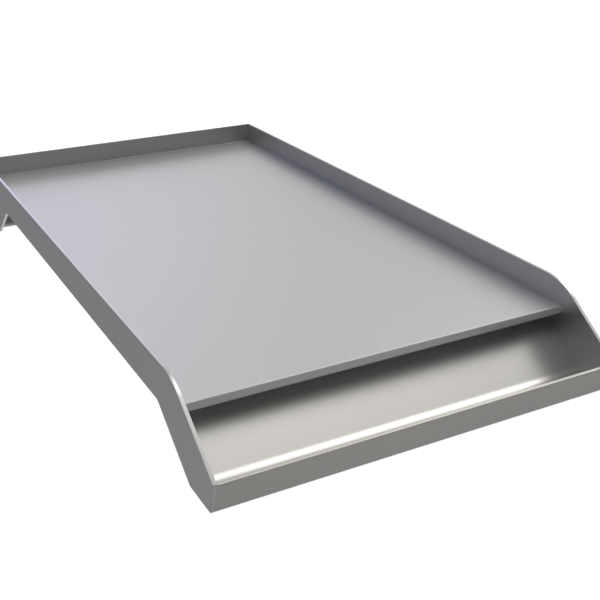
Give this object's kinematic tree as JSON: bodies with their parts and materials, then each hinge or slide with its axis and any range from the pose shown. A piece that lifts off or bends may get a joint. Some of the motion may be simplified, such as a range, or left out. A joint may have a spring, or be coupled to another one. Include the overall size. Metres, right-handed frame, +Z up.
{
  "type": "griddle top",
  "caption": "Add-on griddle top for a restaurant range: a thick steel cooking plate in a welded stainless tray with splash walls, a grease trough in front and a foot behind.",
  "frame": {"origin": "middle of the footprint, on the surface that the trough and the foot stand on", "axes": "+X to the right of the cook at the trough, +Y from the trough to the back wall, +Z up"},
  "size_m": [0.305, 0.59, 0.065],
  "materials": {
    "cooking_plate": "ground flat, fine grain from front to back",
    "splash_sheet": "brushed stainless sheet, grain along the sheet, cut edges dressed",
    "trough_sheet": "brushed stainless sheet, grain across the tray",
    "underside_steel": "mill finish stainless, left as bent and sawn",
    "ground_weld": "weld ground flush and blended with a fine belt",
    "weld_bead": "rippled bead as laid, with a little heat tint"
  },
  "bodies": {
    "root": {"griddle_plate": "cooking_plate", "side_wall_left": "splash_sheet", "side_wall_right": "splash_sheet", "back_wall": "splash_sheet", "grease_trough": "trough_sheet", "stiffener_front": "underside_steel", "stiffener_middle": "underside_steel", "stiffener_rear": "underside_steel", "plate_seal_weld": "ground_weld", "back_corner_weld_left": "ground_weld", "back_corner_weld_right": "ground_weld", "trough_end_weld_left": "weld_bead", "trough_end_weld_right": "weld_bead", "foot_end_weld_left": "weld_bead", "foot_end_weld_right": "weld_bead", "plate_back_weld": "weld_bead", "trough_flange_weld": "weld_bead", "stiffener_weld_front": "weld_bead", "stiffener_weld_middle": "weld_bead", "stiffener_weld_rear": "weld_bead", "plate_under_weld_left": "weld_bead", "plate_under_weld_right": "weld_bead"}
  },
  "joints": []
}
